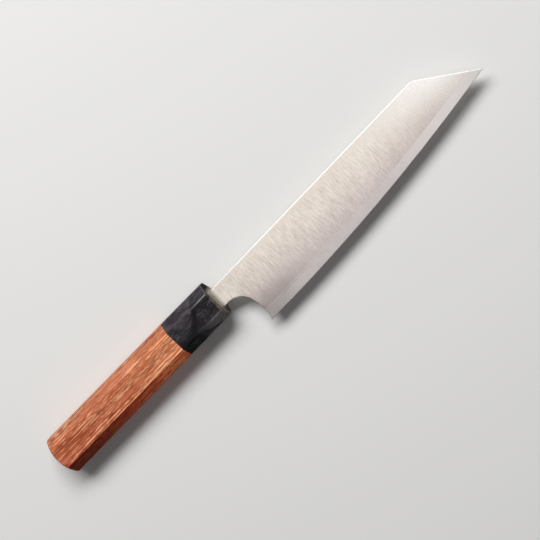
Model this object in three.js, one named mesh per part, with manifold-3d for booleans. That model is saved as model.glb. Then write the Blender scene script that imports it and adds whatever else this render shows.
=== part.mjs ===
// A petty knife with an angled tip: a three-layer blade whose hidden tang is bedded in an octagonal
// handle, made of a ferrule and a wooden body that a slotted dowel joins. It lies on its left side.
// Millimetres. Knife axes: X runs along the handle towards the tip, Y towards the spine and Z out of
// the right-hand face. X = 0 is the ferrule's front face, and the handle's axis is Y = Z = 0.

import * as THREE from "three";
import { mergeVertices } from "three/addons/utils/BufferGeometryUtils.js";
import Module from "manifold-3d";

// Blade outline
const edgeLength = 150; // heel to tip, along the handle
const heelDepth = 25.5; // cutting edge below the handle's axis at the heel
const tipDepth = 13.8; // tip below the handle's axis
const spineHeight = 4.45; // spine above the handle's axis at the ferrule
const spineRise = 1.04; // how much further the spine climbs up to the shoulder
const shoulderSetback = 26.5; // shoulder of the angled tip, behind the tip
const shoulderRadius = 5; // rounding where the spine turns down to the tip
const neckHeight = 9.8; // blade where it enters the ferrule
const throatRadius = 9; // choil arc under the neck
const heelRadius = 22; // choil arc behind the heel
const choilReach = 12.2; // deepest point of the choil, ahead of the ferrule
const choilDepth = 18; // the same point, below the handle's axis

// Blade section
const tangThickness = 2.2; // tang, neck and spine at the ferrule
const shoulderThickness = 1.3; // spine at the shoulder
const coreThickness = 0.56; // hard middle layer
const coreExposure = 4.6; // bare core above the cutting edge
const edgeThickness = 0.15; // cutting edge
const faceCrown = 0.2; // bulge of a ground face at mid height, as a share of the cladding there

// Tang
const tangLength = 68; // behind the ferrule's front face
const tangHeight = 7.6; // behind the tang's shoulders
const tangEndHeight = 4.4;
const tangShoulder = 3; // neck inside the ferrule before it steps down to the tang

// Handle: the sections are octagons, and cut is the leg of their corner cuts
const handleLength = 109.4;
const ferruleLength = 26.8;
const frontSection = { height: 19.4, thickness: 15.0, cut: 4.35 };
const jointSection = { height: 19.8, thickness: 15.8, cut: 4.75 };
const buttSection = { height: 20.7, thickness: 16.6, cut: 4.85 };
const arrisRadius = 0.5; // sanded edge between two facets
const frontRounding = 0.8; // edge of the ferrule's front face
const buttDomeRadius = 19; // the butt is ground to a dome

// Dowel and glued fits
const dowelDiameter = 11.4;
const dowelLength = 70;
const dowelChamfer = 0.6;
const frontWall = 6; // ferrule ahead of the dowel's socket
const beddingWall = 0.3; // cured bedding round the tang
const glueLine = 0.05; // gap between glued faces

// Fineness of round and curved faces
const curveSteps = 20;
const boreSides = 48;
const arrisSteps = 2;
const frontSteps = 3;
const domeSteps = 8;
const bladeStations = 24;
const crownSteps = 4;
const overshoot = 1; // how far cutting solids reach past what they cut
const mergeDistance = 1e-5; // closer points are one vertex

// Values that follow from the sizes above
const neckBottom = spineHeight - neckHeight;
const neckMiddle = spineHeight - neckHeight / 2;
const heelCentre = new THREE.Vector2(choilReach - heelRadius, -choilDepth);
const throatY = neckBottom - throatRadius;
const throatX =
  heelCentre.x + Math.sqrt((heelRadius - throatRadius) ** 2 - (throatY - heelCentre.y) ** 2);
const throatCentre = new THREE.Vector2(throatX, throatY);
const heelX = heelCentre.x + Math.sqrt(heelRadius ** 2 - (heelDepth - choilDepth) ** 2);
const tipX = heelX + edgeLength;
const shoulderX = tipX - shoulderSetback;
const shoulderY = spineHeight + spineRise;
const coreHalf = coreThickness / 2;
const tangHalf = tangThickness / 2;
const buttCorner = Math.hypot(buttSection.height / 2, buttSection.thickness / 2 - buttSection.cut);
const buttX = domeX(buttCorner); // the butt's section, where the dome starts

const wasm = await Module();
wasm.setup();

// A closed geometry as a solid that can be cut and joined.
function solidOf(geometry) {
  const bare = geometry.clone();
  bare.deleteAttribute("normal");
  bare.deleteAttribute("uv");
  const merged = mergeVertices(bare, mergeDistance);
  return new wasm.Manifold(
    new wasm.Mesh({
      numProp: 3,
      vertProperties: merged.attributes.position.array,
      triVerts: new Uint32Array(merged.index.array),
    }),
  );
}

// A solid as a named, coloured mesh.
function piece(name, solid, material) {
  const mesh = solid.getMesh();
  const geometry = new THREE.BufferGeometry();
  geometry.setAttribute("position", new THREE.BufferAttribute(mesh.vertProperties, 3));
  geometry.setIndex(new THREE.BufferAttribute(mesh.triVerts, 1));
  geometry.computeVertexNormals();
  const made = new THREE.Mesh(geometry, material);
  made.name = name;
  return made;
}

// A loft through rings of equal count. The rings go up along X, and each runs anticlockwise as seen
// from its +X side.
function loft(rings) {
  const count = rings[0].length;
  const indices = [];
  for (let i = 0; i + 1 < rings.length; i++) {
    for (let k = 0; k < count; k++) {
      const a = i * count + k;
      const b = i * count + ((k + 1) % count);
      indices.push(a, b, a + count, b, b + count, a + count);
    }
  }
  const last = (rings.length - 1) * count;
  for (let k = 1; k + 1 < count; k++) {
    indices.push(0, k + 1, k);
    indices.push(last, last + k, last + k + 1);
  }
  const points = rings.flat().flatMap((p) => [p.x, p.y, p.z]);
  const geometry = new THREE.BufferGeometry();
  geometry.setAttribute("position", new THREE.Float32BufferAttribute(points, 3));
  geometry.setIndex(indices);
  return solidOf(geometry);
}

function ring(x, corners) {
  return corners.map(([y, z]) => new THREE.Vector3(x, y, z));
}

function rectangle(x, middle, halfHeight, halfWidth) {
  return ring(x, [
    [middle - halfHeight, -halfWidth],
    [middle + halfHeight, -halfWidth],
    [middle + halfHeight, halfWidth],
    [middle - halfHeight, halfWidth],
  ]);
}

// An octagonal handle section with sanded edges, drawn in on all sides by inset. Each corner is an
// eighth of a turn about the corner of an octagon that lies one radius further in.
function octagon(x, section, inset = 0) {
  const inward = inset + arrisRadius;
  const h = section.height / 2 - inward;
  const t = section.thickness / 2 - inward;
  const cut = section.cut - inward * (2 - Math.SQRT2);
  const corners = [
    [h, cut - t],
    [h, t - cut],
    [h - cut, t],
    [cut - h, t],
    [-h, t - cut],
    [-h, cut - t],
    [cut - h, -t],
    [h - cut, -t],
  ];
  const points = [];
  corners.forEach(([y, z], k) => {
    for (let i = 0; i <= arrisSteps; i++) {
      const angle = (Math.PI / 4) * (k - 1 + i / arrisSteps);
      points.push([y + arrisRadius * Math.cos(angle), z + arrisRadius * Math.sin(angle)]);
    }
  });
  return ring(x, points);
}

// A round rod along X from back to front, with chamfered ends.
function rod(back, front, radius, chamfer) {
  const profile = [
    new THREE.Vector2(0, back),
    new THREE.Vector2(radius - chamfer, back),
    new THREE.Vector2(radius, back + chamfer),
    new THREE.Vector2(radius, front - chamfer),
    new THREE.Vector2(radius - chamfer, front),
    new THREE.Vector2(0, front),
  ];
  return solidOf(new THREE.LatheGeometry(profile, boreSides).rotateZ(-Math.PI / 2));
}

// A plain round cutter along X.
function borer(back, front, radius) {
  const cylinder = new THREE.CylinderGeometry(radius, radius, front - back, boreSides);
  return solidOf(cylinder.rotateZ(-Math.PI / 2).translate((back + front) / 2, 0, 0));
}

// The tang's height from the ferrule's face to its end.
const tangStep = (neckHeight - tangHeight) / 2;
const tangProfile = [
  { x: 0, half: neckHeight / 2 },
  { x: -tangShoulder, half: neckHeight / 2 },
  { x: -tangShoulder - tangStep, half: tangHeight / 2 },
  { x: -tangLength, half: tangEndHeight / 2 },
];

// Height of the cutting edge at x: flat at the heel, then rising to the tip along a parabola.
function edgeY(x) {
  const share = Math.max(0, x - heelX) / edgeLength;
  return -heelDepth + (heelDepth - tipDepth) * share ** 2;
}

function spineY(x) {
  return spineHeight + (spineRise * Math.max(0, x)) / shoulderX;
}

// The outline of blade, neck and tang, as a prism thicker than the blade.
function bladePrism() {
  const shoulder = new THREE.Vector2(shoulderX, shoulderY);
  const tip = new THREE.Vector2(tipX, -tipDepth);
  const root = new THREE.Vector2(0, spineHeight);
  const toTip = tip.clone().sub(shoulder).normalize();
  const toRoot = root.clone().sub(shoulder).normalize();
  const turn = Math.PI - Math.acos(toTip.dot(toRoot));
  const reach = shoulderRadius * Math.tan(turn / 2);
  const fromTip = shoulder.clone().addScaledVector(toTip, reach);
  const ontoSpine = shoulder.clone().addScaledVector(toRoot, reach);
  const meet = throatCentre.clone().sub(heelCentre).angle();
  const heelAngle = -Math.asin((heelDepth - choilDepth) / heelRadius);

  const outline = new THREE.Shape();
  const behind = tangProfile.toReversed();
  outline.moveTo(behind[0].x, neckMiddle - behind[0].half);
  behind.slice(1).forEach(({ x, half }) => outline.lineTo(x, neckMiddle - half));
  outline.absarc(throatCentre.x, throatCentre.y, throatRadius, Math.PI / 2, meet, true);
  outline.absarc(heelCentre.x, heelCentre.y, heelRadius, meet, heelAngle, true);
  outline.quadraticCurveTo(heelX + edgeLength / 2, -heelDepth, tipX, -tipDepth);
  outline.lineTo(fromTip.x, fromTip.y);
  outline.quadraticCurveTo(shoulder.x, shoulder.y, ontoSpine.x, ontoSpine.y);
  tangProfile.forEach(({ x, half }) => outline.lineTo(x, neckMiddle + half));

  const depth = 2 * tangThickness;
  const options = { depth, curveSegments: curveSteps, bevelEnabled: false };
  return solidOf(new THREE.ExtrudeGeometry(outline, options).translate(0, 0, -depth / 2));
}

// Where the layers' faces lie at x: top is past the spine, bare is where the core comes out from
// under the cladding, and face runs up the crowned cladding, from above the bare core to the top.
function sectionAt(x) {
  const top = spineY(x) + overshoot;
  const bare = edgeY(x) + coreExposure;
  const height = spineY(x) - bare;
  const spineHalf = tangHalf - ((tangThickness - shoulderThickness) / 2) * (x / shoulderX);
  const face = [];
  for (let i = 1; i <= crownSteps; i++) {
    const rise = i < crownSteps ? i / crownSteps : (top - bare) / height;
    const thick = rise + 4 * faceCrown * rise * (1 - rise);
    face.push([bare + height * rise, coreHalf + (spineHalf - coreHalf) * thick]);
  }
  return { x, top, bare, face };
}

// Behind the ferrule's face the layers are flat plates.
function plateAt(x) {
  const bare = neckBottom - overshoot;
  const top = spineHeight + overshoot;
  const face = [];
  for (let i = 0; i < crownSteps; i++) {
    face.push([THREE.MathUtils.lerp(bare, top, i / (crownSteps - 1)), tangHalf]);
  }
  return { x, top, bare, face };
}

const stations = [plateAt(-tangLength - overshoot), plateAt(0)];
for (let i = 0; i <= bladeStations; i++) {
  stations.push(sectionAt(heelX + ((edgeLength + overshoot) * i) / bladeStations));
}

// The hard core: flat faces down to where it is bare, then a bevel down to the edge.
function coreLayer() {
  const edgeHalf = edgeThickness / 2;
  const apexDrop = (coreExposure * coreHalf) / (coreHalf - edgeHalf);
  return loft(
    stations.map(({ x, top, bare }) =>
      ring(x, [
        [bare - apexDrop, 0],
        [bare, -coreHalf],
        [top, -coreHalf],
        [top, coreHalf],
        [bare, coreHalf],
      ]),
    ),
  );
}

// The soft cladding on one face: side is 1 on the right and -1 on the left.
function claddingLayer(side) {
  return loft(
    stations.map(({ x, top, bare, face }) => {
      const corners = [[bare, coreHalf], [top, coreHalf], ...face.toReversed()];
      const placed = corners.map(([y, z]) => [y, side * z]);
      return ring(x, side > 0 ? placed : placed.toReversed());
    }),
  );
}

// The tang's own room in its bedding, grown by clearance and open at the front.
function tangRoom(clearance) {
  const corner = clearance * Math.tan(Math.PI / 8);
  const shifts = [overshoot, -corner, -corner, -clearance];
  const rings = tangProfile.map(({ x, half }, i) =>
    rectangle(x + shifts[i], neckMiddle, half + clearance, tangHalf + clearance),
  );
  return loft(rings.toReversed());
}

const slotClearance = beddingWall + 2 * glueLine;

// The slot that the bedding fills: straight through the ferrule's front wall, then tapered in the
// dowel, with its step inside the glue line between the two. With less than the slot's own clearance
// it is the bedding, a glue line smaller all round.
function tangSlot(clearance, front) {
  const [neck, , shoulder, end] = tangProfile;
  const step = slotClearance - clearance - frontWall - glueLine / 2;
  const share = (shoulder.x - step) / (shoulder.x - end.x);
  const dowelHalf = THREE.MathUtils.lerp(shoulder.half, end.half, share);
  const width = tangHalf + clearance;
  return loft([
    rectangle(end.x - clearance, neckMiddle, end.half + clearance, width),
    rectangle(step, neckMiddle, dowelHalf + clearance, width),
    rectangle(step, neckMiddle, neck.half + clearance, width),
    rectangle(front, neckMiddle, neck.half + clearance, width),
  ]);
}

const socketRadius = dowelDiameter / 2 + glueLine;
const dowelFront = -frontWall - glueLine;
const dowelBack = dowelFront - dowelLength;

function ferrule() {
  const rings = [octagon(-ferruleLength, jointSection)];
  for (let i = 0; i <= frontSteps; i++) {
    const angle = ((Math.PI / 2) * i) / frontSteps;
    const x = frontRounding * (Math.sin(angle) - 1);
    rings.push(octagon(x, frontSection, frontRounding * (1 - Math.cos(angle))));
  }
  const socket = borer(-ferruleLength - overshoot, -frontWall, socketRadius);
  return loft(rings).subtract(socket).subtract(tangSlot(slotClearance, overshoot));
}

// Where the butt's dome lies at a distance from the handle's axis.
function domeX(radius) {
  return buttDomeRadius - Math.sqrt(buttDomeRadius ** 2 - radius ** 2) - handleLength;
}

// A round bar with the butt's dome on its back end, wide enough to hold the handle's body.
function domedBar() {
  const barRadius = buttCorner + arrisRadius;
  const front = overshoot - ferruleLength;
  const profile = [];
  for (let i = 0; i <= domeSteps; i++) {
    const radius = (barRadius * i) / domeSteps;
    profile.push(new THREE.Vector2(radius, domeX(radius)));
  }
  profile.push(new THREE.Vector2(barRadius, front), new THREE.Vector2(0, front));
  return solidOf(new THREE.LatheGeometry(profile, boreSides).rotateZ(-Math.PI / 2));
}

function handleBody() {
  const back = octagon(-handleLength, buttSection);
  const blank = loft([back, octagon(buttX, buttSection), octagon(-ferruleLength, jointSection)]);
  const bore = borer(dowelBack - glueLine, -ferruleLength + overshoot, socketRadius);
  return blank.intersect(domedBar()).subtract(bore);
}

function tenonDowel() {
  const round = rod(dowelBack, dowelFront, dowelDiameter / 2, dowelChamfer);
  return round.subtract(tangSlot(slotClearance, overshoot));
}

function tangBedding() {
  return tangSlot(beddingWall + glueLine, 0).subtract(tangRoom(glueLine));
}

function finish(color, roughness, metalness) {
  return new THREE.MeshStandardMaterial({ color, roughness, metalness });
}

const coreSteel = finish(0xd6d2ce, 0.3, 1);
const claddingSteel = finish(0xd8cec7, 0.38, 1);
const darkHorn = finish(0x2c282d, 0.35, 0);
const redWood = finish(0xb56c4d, 0.5, 0);
const paleWood = finish(0xc9ab80, 0.7, 0);
const curedEpoxy = finish(0x6b5238, 0.4, 0);

const prism = bladePrism();
const knife = new THREE.Group();
knife.add(
  piece("blade_core", prism.intersect(coreLayer()), coreSteel),
  piece("cladding_right", prism.intersect(claddingLayer(1)), claddingSteel),
  piece("cladding_left", prism.intersect(claddingLayer(-1)), claddingSteel),
  piece("ferrule", ferrule(), darkHorn),
  piece("handle_body", handleBody(), redWood),
  piece("tenon_dowel", tenonDowel(), paleWood),
  piece("tang_bedding", tangBedding(), curedEpoxy),
);

// The part's origin is under the middle of the knife's box, on the surface that it lies on.
const topY = Math.max(buttSection.height, jointSection.height) / 2;
knife.position.set((handleLength - tipX) / 2, (heelDepth - topY) / 2, buttSection.thickness / 2);

const part = new THREE.Group();
part.add(knife);

export default part;
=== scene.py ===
import math

import bmesh
import bpy
from mathutils import Matrix, Vector


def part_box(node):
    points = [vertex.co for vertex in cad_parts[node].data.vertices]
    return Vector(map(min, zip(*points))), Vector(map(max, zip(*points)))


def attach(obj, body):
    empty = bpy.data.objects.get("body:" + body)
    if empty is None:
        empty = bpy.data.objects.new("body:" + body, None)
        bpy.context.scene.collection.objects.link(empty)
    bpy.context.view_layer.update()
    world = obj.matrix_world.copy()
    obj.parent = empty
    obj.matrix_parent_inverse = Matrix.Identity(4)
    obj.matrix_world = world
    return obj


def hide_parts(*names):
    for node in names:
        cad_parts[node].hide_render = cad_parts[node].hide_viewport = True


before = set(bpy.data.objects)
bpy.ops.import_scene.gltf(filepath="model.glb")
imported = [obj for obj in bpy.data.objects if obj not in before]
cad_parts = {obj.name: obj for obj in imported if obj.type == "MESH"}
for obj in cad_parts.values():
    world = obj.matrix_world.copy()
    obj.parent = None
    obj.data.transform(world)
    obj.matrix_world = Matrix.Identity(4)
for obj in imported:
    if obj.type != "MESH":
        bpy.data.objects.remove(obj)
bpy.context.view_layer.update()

print("frame loaded:", ", ".join(sorted(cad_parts)))

# Places that everything is measured from: x from the ferrule's front face, y and z from the handle's axis
ferruleLow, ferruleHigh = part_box("ferrule")
bodyLow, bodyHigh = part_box("handle_body")
coreLow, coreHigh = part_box("blade_core")
faceX = ferruleHigh.x
axisY = (ferruleLow.y + ferruleHigh.y) / 2
axisZ = (ferruleLow.z + ferruleHigh.z) / 2
origin = Vector((faceX, axisY, axisZ))


# Node building, for materials and for geometry

class Value:
    # a node's output that takes part in sums; each sum adds a Math node
    def __init__(self, graph, socket):
        self.graph = graph
        self.socket = socket

    def math(self, operation, first, second=0.0):
        return self.graph.add("ShaderNodeMath", {"operation": operation}, {0: first, 1: second})

    def __add__(self, other):
        return self.math("ADD", self, other)

    def __sub__(self, other):
        return self.math("SUBTRACT", self, other)

    def __rsub__(self, other):
        return self.math("SUBTRACT", other, self)

    def __mul__(self, other):
        return self.math("MULTIPLY", self, other)

    def __truediv__(self, other):
        return self.math("DIVIDE", self, other)

    def __rtruediv__(self, other):
        return self.math("DIVIDE", other, self)

    def __abs__(self):
        return self.math("ABSOLUTE", self)

    __radd__ = __add__
    __rmul__ = __mul__


class Graph:
    def __init__(self, tree):
        self.tree = tree
        tree.nodes.clear()

    # settings come first, because they can change which sockets a node has
    def add(self, kind, settings=None, sockets=None, out=0):
        node = self.tree.nodes.new(kind)
        for name, setting in (settings or {}).items():
            if name == "stops":
                ramp = node.color_ramp
                while len(ramp.elements) < len(setting):
                    ramp.elements.new(1.0)
                for element, (place, colour) in zip(ramp.elements, setting):
                    element.position = place
                    element.color = (*colour, 1.0)
            else:
                setattr(node, name, setting)
        for key, given in (sockets or {}).items():
            if isinstance(given, Value):
                self.tree.links.new(given.socket, node.inputs[key])
            else:
                node.inputs[key].default_value = given
        return Value(self, node.outputs[out]) if node.outputs else node

    def split(self, vector):
        parts = self.add("ShaderNodeSeparateXYZ", None, {0: vector})
        outputs = parts.socket.node.outputs
        return [Value(self, outputs[i]) for i in range(3)]

    def joined(self, x, y, z):
        return self.add("ShaderNodeCombineXYZ", None, {0: x, 1: y, 2: z})

    def clamped(self, value, low, high):
        return self.add("ShaderNodeClamp", None, {0: value, 1: low, 2: high})

    # 0 below low, 1 above high, smooth between
    def rising(self, value, low, high):
        settings = {"interpolation_type": "SMOOTHSTEP"}
        return self.add("ShaderNodeMapRange", settings, {0: value, 1: low, 2: high, 3: 0.0, 4: 1.0})

    def mixed(self, factor, first, second, blend="MIX"):
        settings = {"data_type": "RGBA", "blend_type": blend, "clamp_factor": True}
        return self.add("ShaderNodeMix", settings, {0: factor, 6: first, 7: second}, out=2)

    # noise whose grains have the given lengths along x, y and z, in metres
    def noise(self, place, sizes, detail=2.0, roughness=0.5, distortion=0.0):
        scaled = self.add("ShaderNodeVectorMath", {"operation": "DIVIDE"}, {0: place, 1: sizes})
        sockets = {
            "Vector": scaled,
            "Scale": 1.0,
            "Detail": detail,
            "Roughness": roughness,
            "Distortion": distortion,
        }
        return self.add("ShaderNodeTexNoise", None, sockets)


class Surface(Graph):
    # a material with a Principled shader; place is the Object coordinate, in metres
    def __init__(self, name):
        self.material = bpy.data.materials.new(name)
        self.material.use_nodes = True
        super().__init__(self.material.node_tree)
        coordinates = self.add("ShaderNodeTexCoord")
        self.place = Value(self, coordinates.socket.node.outputs["Object"])

    def done(self, sockets):
        shader = self.add("ShaderNodeBsdfPrincipled", None, sockets)
        self.add("ShaderNodeOutputMaterial", None, {"Surface": shader})
        print("material", self.material.name)
        return self.material

    def ramp(self, tone, stops):
        return self.add("ShaderNodeValToRGB", {"stops": stops}, {0: tone})

    def bump(self, height, distance, strength):
        return self.add("ShaderNodeBump", None, {"Strength": strength, "Distance": distance, "Height": height})


# Mesh helpers

mend = {
    "merge": 1e-6,  # points nearer than this become one
    "sliver": 1e-7,  # edges shorter than this go
    "least": 1e-9,  # a length that counts as none
}


def pieceFromMesh(name, mesh, material=None, sharpAngle=32):
    mesh.name = name
    mesh.shade_smooth()
    mesh.set_sharp_from_angle(angle=math.radians(sharpAngle))
    if material:
        mesh.materials.clear()
        mesh.materials.append(material)
    made = bpy.data.objects.new(name, mesh)
    bpy.context.scene.collection.objects.link(made)
    return made


def standFor(made, node):
    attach(made, "root")
    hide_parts(node)
    print("piece", made.name, len(made.data.polygons), "faces")


# a closed skin over rings of points, capped at both ends
def loftMesh(name, rings):
    work = bmesh.new()
    rows = [[work.verts.new(point) for point in ring] for ring in rings]
    count = len(rows[0])
    for near, far in zip(rows, rows[1:]):
        for k in range(count):
            after = (k + 1) % count
            work.faces.new((near[k], near[after], far[after], far[k]))
    work.faces.new(rows[0])
    work.faces.new(rows[-1])
    bmesh.ops.remove_doubles(work, verts=work.verts, dist=mend["merge"])
    bmesh.ops.dissolve_degenerate(work, edges=work.edges, dist=mend["sliver"])
    bmesh.ops.recalc_face_normals(work, faces=work.faces)
    mesh = bpy.data.meshes.new(name)
    work.to_mesh(mesh)
    work.free()
    return mesh


# Blade: outline and section in metres, from the ferrule's face and the handle's axis

blade = {
    "edgeLength": 0.150,
    "tipDepth": 0.0138,
    "spineHeight": 0.00445,
    "spineRise": 0.00104,  # spine climbs this much up to the shoulder
    "shoulderSetback": 0.0265,
    "shoulderRadius": 0.005,
    "neckHeight": 0.0098,
    "throatRadius": 0.009,
    "heelRadius": 0.022,
    "choilReach": 0.0122,
    "choilDepth": 0.018,
    "thickness": 0.0022,  # at the neck
    "shoulderThickness": 0.0013,
    "coreThickness": 0.00056,
    "bareCore": 0.0046,  # core that shows above the edge
    "edgeThickness": 0.00015,
    "crown": 0.2,
    "easing": 0.00022,  # rounding of the choil and of the cladding's lower edge
    "spineBreak": (0.00034, 0.00013),  # broken edge of the spine: down the face, and in from it
    "breakShare": 0.6,  # a broken edge takes at most this share of the thickness
    "breakReach": 0.3,  # and this share of the way across
    "neckFade": 0.002,  # and fades out over this length inside the ferrule
    "bareFade": 0.0002,  # the core's end gets its broken edge over this much height
    "honedWidth": 0.00022,  # sharpened facet
    "honedThickness": 0.00007,
    "tangHeight": 0.0076,
    "tangEndHeight": 0.0044,
    "tangShoulder": 0.003,
    "fanX": 0.027,  # where the mesh line from the heel meets the spine
    # mesh lines across the blade, steps along each line, and steps of the outline's curves
    "choilLines": 60,
    "edgeLines": 230,
    "faceSteps": 26,
    "easingSteps": 8,
    "bevelSteps": 5,
    "throatSteps": 60,
    "heelSteps": 90,
    "edgeSteps": 600,
    "backSteps": 20,
    "shoulderSteps": 12,
    "halvings": 30,  # of the search for a height on a line
    "coreSharp": 1.2,  # angles between faces, in degrees, past which an edge is drawn sharp
    "faceSharp": 15,
}

heelDepth = axisY - coreLow.y
tipX = coreHigh.x - faceX
heelX = tipX - blade["edgeLength"]
shoulder = Vector((tipX - blade["shoulderSetback"], blade["spineHeight"] + blade["spineRise"]))
tip = Vector((tipX, -blade["tipDepth"]))
coreHalf = blade["coreThickness"] / 2
neckBottom = blade["spineHeight"] - blade["neckHeight"]
endSlope = (tip.y - shoulder.y) / (tip.x - shoulder.x)


def smooth(low, high, value):
    share = min(1.0, max(0.0, (value - low) / (high - low)))
    return share * share * (3 - 2 * share)


def edgeY(x):
    share = max(0.0, x - heelX) / blade["edgeLength"]
    return -heelDepth + (heelDepth - blade["tipDepth"]) * share**2


def bareY(x):
    return edgeY(x) + blade["bareCore"]


def spineY(x):
    return blade["spineHeight"] + blade["spineRise"] * max(0.0, x) / shoulder.x


# the angled end, from the shoulder to the tip
def endY(x):
    return shoulder.y + endSlope * (x - shoulder.x)


# half thickness of the clad face: flat at the neck, crowned and thinning towards the tip ahead of it
def faceZ(x, y):
    flat = blade["thickness"] / 2
    if x <= 0:
        return flat
    taper = (blade["thickness"] - blade["shoulderThickness"]) / 2
    cladding = flat - taper * x / shoulder.x - coreHalf
    rise = min(1.0, max(0.0, (y - bareY(x)) / (spineY(x) - bareY(x))))
    ground = coreHalf + cladding * (rise + 4 * blade["crown"] * rise * (1 - rise))
    return flat + (ground - flat) * smooth(0.0, heelX, x)


# half thickness of the core: flat, then a bevel, then the sharpened facet
def coreZ(x, y):
    height = y - edgeY(x)
    edgeHalf = blade["edgeThickness"] / 2
    share = min(1.0, max(height, blade["honedWidth"]) / blade["bareCore"])
    bevel = edgeHalf + (coreHalf - edgeHalf) * share
    if height >= blade["honedWidth"]:
        return bevel
    apex = blade["honedThickness"] / 2
    return apex + (bevel - apex) * max(0.0, height) / blade["honedWidth"]


def arcPoints(centre, radius, start, end, steps):
    angles = [start + (end - start) * i / steps for i in range(steps + 1)]
    return [centre + radius * Vector((math.cos(a), math.sin(a))) for a in angles]


# points at even distances along a line of points
def spread(path, count):
    runs = [0.0]
    for a, b in zip(path, path[1:]):
        runs.append(runs[-1] + (b - a).length)
    made, k = [], 0
    for i in range(count):
        want = runs[-1] * i / (count - 1)
        while k < len(path) - 2 and runs[k + 1] < want:
            k += 1
        share = (want - runs[k]) / max(runs[k + 1] - runs[k], mend["least"])
        made.append(path[k].lerp(path[k + 1], share))
    return made


# underside of the neck and the two arcs of the choil, down to the heel
def choilPath():
    heelCentre = Vector((blade["choilReach"] - blade["heelRadius"], -blade["choilDepth"]))
    drop = neckBottom - blade["throatRadius"] - heelCentre.y
    reach = math.sqrt((blade["heelRadius"] - blade["throatRadius"]) ** 2 - drop**2)
    throatCentre = heelCentre + Vector((reach, drop))
    meet = math.atan2(drop, reach)
    heelAngle = -math.asin((heelDepth - blade["choilDepth"]) / blade["heelRadius"])
    throat = arcPoints(throatCentre, blade["throatRadius"], math.pi / 2, meet, blade["throatSteps"])
    heel = arcPoints(heelCentre, blade["heelRadius"], meet, heelAngle, blade["heelSteps"])
    return [Vector((0, neckBottom))] + throat + heel[1:]


# spine from fanX, the rounded shoulder and the angled line down to the tip
def spinePath():
    start = Vector((blade["fanX"], spineY(blade["fanX"])))
    toTip = (tip - shoulder).normalized()
    toRoot = (start - shoulder).normalized()
    turn = math.pi - math.acos(toTip.dot(toRoot))
    reach = blade["shoulderRadius"] * math.tan(turn / 2)
    a, b = shoulder + toRoot * reach, shoulder + toTip * reach
    shares = [i / blade["shoulderSteps"] for i in range(blade["shoulderSteps"] + 1)]
    bend = [a.lerp(shoulder, share).lerp(shoulder.lerp(b, share), share) for share in shares]
    return [start] + bend + [tip]


# pairs of points, one on the lower outline and one on the upper, from the tang's end to the tip
def bladeLines(clad):
    middle = blade["spineHeight"] - blade["neckHeight"] / 2
    step = (blade["neckHeight"] - blade["tangHeight"]) / 2
    tang = [
        (coreLow.x - faceX, blade["tangEndHeight"]),
        (-blade["tangShoulder"] - step, blade["tangHeight"]),
        (-blade["tangShoulder"], blade["neckHeight"]),
    ]
    lines = [(Vector((x, middle - h / 2)), Vector((x, middle + h / 2))) for x, h in tang]
    choil, top = choilPath(), spinePath()
    count = blade["edgeSteps"]
    xs = [heelX + blade["edgeLength"] * i / count for i in range(count + 1)]
    low = [Vector((x, edgeY(x))) for x in xs]
    if clad:
        choil = [p for p in choil if p.y >= bareY(p.x)]
        low = [Vector((x, bareY(x))) for x in xs if x >= choil[-1].x]
        low = [p for p in low if p.y < endY(p.x)]
        end = Vector((low[-1].x, endY(low[-1].x)))
        low[-1] = end
        top = top[:-1] + [end]
        choil[-1] = low[0]
    xs = [blade["fanX"] * i / blade["backSteps"] for i in range(blade["backSteps"] + 1)]
    back = [Vector((x, spineY(x))) for x in xs]
    lines += list(zip(spread(choil, blade["choilLines"]), spread(back, blade["choilLines"])))
    lines += list(zip(spread(low, blade["edgeLines"]), spread(top, blade["edgeLines"])))[1:]
    return lines


def placed(point, z):
    return origin + Vector((point.x, point.y, z))


def claddingRing(lower, upper, side):
    length = (upper - lower).length
    steps = blade["easingSteps"]

    # how far a broken edge reaches along the line and into the face, smaller where the blade runs out
    def broken(point, run, sunk):
        bulk = faceZ(point.x, point.y) - coreHalf
        scale = min(1.0, blade["breakShare"] * bulk / sunk, blade["breakReach"] * length / run)
        scale = scale * smooth(-blade["neckFade"], 0.0, point.x)
        return run * scale, sunk * scale

    low, _ = broken(lower, blade["easing"], blade["easing"])
    high, sink = broken(upper, *blade["spineBreak"])
    along = []
    for i in range(steps + 1):
        angle = math.pi / 2 * i / steps
        along.append((low * (1 - math.cos(angle)), low * (1 - math.sin(angle))))
    for i in range(1, blade["faceSteps"] + 1):
        along.append((low + (length - low - high) * i / blade["faceSteps"], 0.0))
    along.append((length, sink))
    points = [placed(lower, side * coreHalf)]
    for run, sunk in along:
        point = lower.lerp(upper, run / length) if length > mend["least"] else lower
        points.append(placed(point, side * (faceZ(point.x, point.y) - sunk)))
    return points + [placed(upper, side * coreHalf)]


# share of the way from lower to upper where the line is that high above the edge
def climb(lower, upper, height):
    low, high = 0.0, 1.0
    for _ in range(blade["halvings"]):
        half = (low + high) / 2
        point = lower.lerp(upper, half)
        if point.y - edgeY(point.x) < height:
            low = half
        else:
            high = half
    return high if high > mend["merge"] else 0.0


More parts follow.
